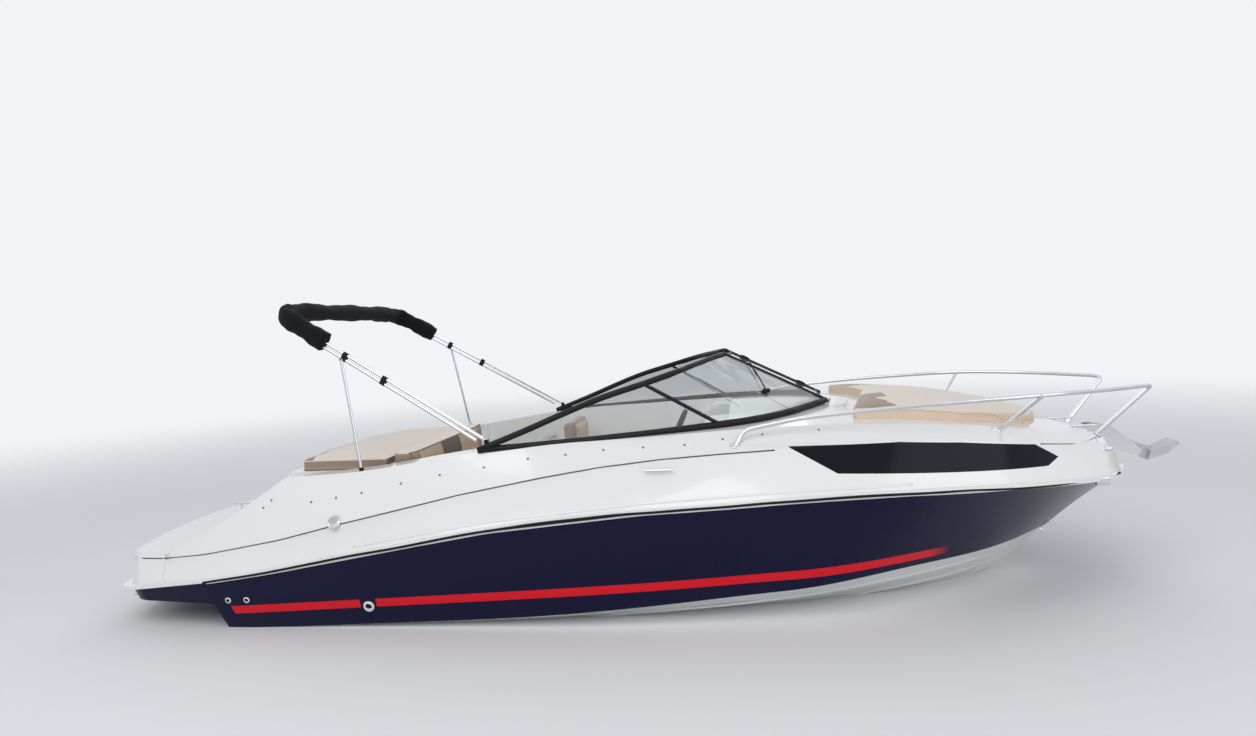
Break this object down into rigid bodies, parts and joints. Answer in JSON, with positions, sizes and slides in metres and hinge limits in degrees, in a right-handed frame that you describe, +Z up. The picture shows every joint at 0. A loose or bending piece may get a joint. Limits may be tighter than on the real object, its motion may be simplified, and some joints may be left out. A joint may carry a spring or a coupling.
{
  "type": "cuddy-cabin sterndrive speedboat",
  "caption": "Open cuddy-cabin speedboat afloat, with a framed windshield, stowed bimini top, sunpads, bow rails and a tilting, steering sterndrive.",
  "frame": {"origin": "on the centreplane at the waterline, where the transom meets the chine", "axes": "+X towards the bow, +Y to port, +Z up"},
  "size_m": [7.0621, 2.5384, 2.838],
  "materials": {
    "white_gelcoat": "gloss",
    "navy_gelcoat": "gloss",
    "bottom_white": "satin",
    "black_rubber": "matte",
    "cream_vinyl": "soft satin",
    "stainless": "polished",
    "black_metal": "matte",
    "clear_glass": "clear",
    "dark_glass": "tinted",
    "black_fabric": "matte",
    "grey_plastic": "matte",
    "drive_paint": "satin",
    "galvanised": "satin"
  },
  "bodies": {
    "hull_body": {"hull_bottom": "bottom_white", "hull_topsides": "navy_gelcoat", "spray_strakes": "bottom_white", "deck_moulding": "white_gelcoat", "cabin_windows": "dark_glass", "swim_platform": "white_gelcoat", "platform_underside": "navy_gelcoat", "rub_rail": "black_rubber", "cockpit_liner": "white_gelcoat", "engine_box": "white_gelcoat", "hatch_hinges": "stainless", "aft_bench_base": "white_gelcoat", "aft_bench_cushions": "cream_vinyl", "helm_console": "white_gelcoat", "port_console": "white_gelcoat", "seat_pedestals": "stainless", "cockpit_seats": "cream_vinyl", "door_tracks": "grey_plastic", "cabin_berth": "white_gelcoat", "berth_cushion": "cream_vinyl", "windshield_frames": "black_metal", "windshield_glass": "clear_glass", "bow_rails": "stainless", "bow_sunpad": "cream_vinyl", "bow_roller": "stainless", "anchor": "galvanised", "cleats": "stainless", "hull_fittings": "stainless", "bimini_mounts": "stainless", "boarding_ladder": "stainless", "engine_bearers": "white_gelcoat", "engine_block": "grey_plastic", "transom_plate": "drive_paint"},
    "drive_gimbal_body": {"drive_gimbal": "drive_paint"},
    "drive_leg_body": {"drive_leg": "drive_paint"},
    "propeller_body": {"propeller": "drive_paint"},
    "trim_cylinders_body": {"trim_cylinders": "stainless"},
    "trim_rods_body": {"trim_rods": "stainless"},
    "wheel_body": {"steering_wheel": "black_metal"},
    "hatch_body": {"engine_hatch": "white_gelcoat", "sunpad_cushion": "cream_vinyl"},
    "centre_panel_body": {"centre_panel_frame": "black_metal", "centre_panel_glass": "clear_glass"},
    "door_body": {"cabin_door": "dark_glass"},
    "locker_lid_body": {"anchor_locker_lid": "white_gelcoat"},
    "bimini_body": {"bimini_main_bow": "stainless", "bimini_second_bow": "stainless", "bimini_boot": "black_fabric", "bimini_clamps": "grey_plastic"},
    "struts_body": {"bimini_struts": "stainless"}
  },
  "joints": [
    {"name": "drive_steer", "type": "hinge", "parent": "hull_body", "child": "drive_gimbal_body", "pos_m": [-0.185, 0, 0], "axis": [0, 0, 1], "range_deg": [-28, 28]},
    {"name": "drive_tilt", "type": "hinge", "parent": "drive_gimbal_body", "child": "drive_leg_body", "pos_m": [-0.185, 0, -0.02], "axis": [0, 1, 0], "range_deg": [-4, 48]},
    {"name": "propeller_spin", "type": "hinge", "parent": "drive_leg_body", "child": "propeller_body", "pos_m": [-0.6, 0, -0.59], "axis": [1, 0, 0], "continuous": true},
    {"name": "trim_ram_pivot", "type": "hinge", "parent": "drive_gimbal_body", "child": "trim_cylinders_body", "pos_m": [-0.185, 0, -0.18], "axis": [0, 1, 0], "range_deg": [-3.2, 36]},
    {"name": "trim_ram_extend", "type": "slide", "parent": "trim_cylinders_body", "child": "trim_rods_body", "axis": [-0.9701, 0, 0.2425], "range_m": [-0.01, 0.115]},
    {"name": "helm_wheel", "type": "hinge", "parent": "hull_body", "child": "wheel_body", "pos_m": [2.85, -0.47, 1.04], "axis": [-0.9063, 0, 0.4226], "range_deg": [-546, 546]},
    {"name": "engine_hatch_lift", "type": "hinge", "parent": "hull_body", "child": "hatch_body", "pos_m": [0.38, 0, 0.962], "axis": [0, -1, 0], "range_deg": [0, 65]},
    {"name": "windshield_centre_open", "type": "hinge", "parent": "hull_body", "child": "centre_panel_body", "pos_m": [3.84726, 0.251, 1.23626], "axis": [-0.8911, 0, 0.4538], "range_deg": [0, 110]},
    {"name": "cabin_door_slide", "type": "slide", "parent": "hull_body", "child": "door_body", "axis": [0, -1, 0], "range_m": [0, 0.44]},
    {"name": "anchor_locker_open", "type": "hinge", "parent": "hull_body", "child": "locker_lid_body", "pos_m": [5.247, 0, 1.003], "axis": [0, -1, 0], "range_deg": [0, 85]},
    {"name": "bimini_fold", "type": "hinge", "parent": "hull_body", "child": "bimini_body", "pos_m": [1.763, 0, 1.134], "axis": [0, 1, 0], "range_deg": [0, 75]},
    {"name": "strut_fold", "type": "hinge", "parent": "bimini_body", "child": "struts_body", "pos_m": [0.82792, 0, 1.66549], "axis": [0, 1, 0], "range_deg": [-60, 0]}
  ],
  "couplings": [
    {"joint": "trim_ram_pivot", "follows": "drive_tilt", "ratio": 0.73},
    {"joint": "trim_ram_extend", "follows": "drive_tilt", "m_per_rad": 0.133},
    {"joint": "helm_wheel", "follows": "drive_steer", "ratio": -19.5},
    {"joint": "strut_fold", "follows": "bimini_fold", "ratio": -0.7}
  ]
}
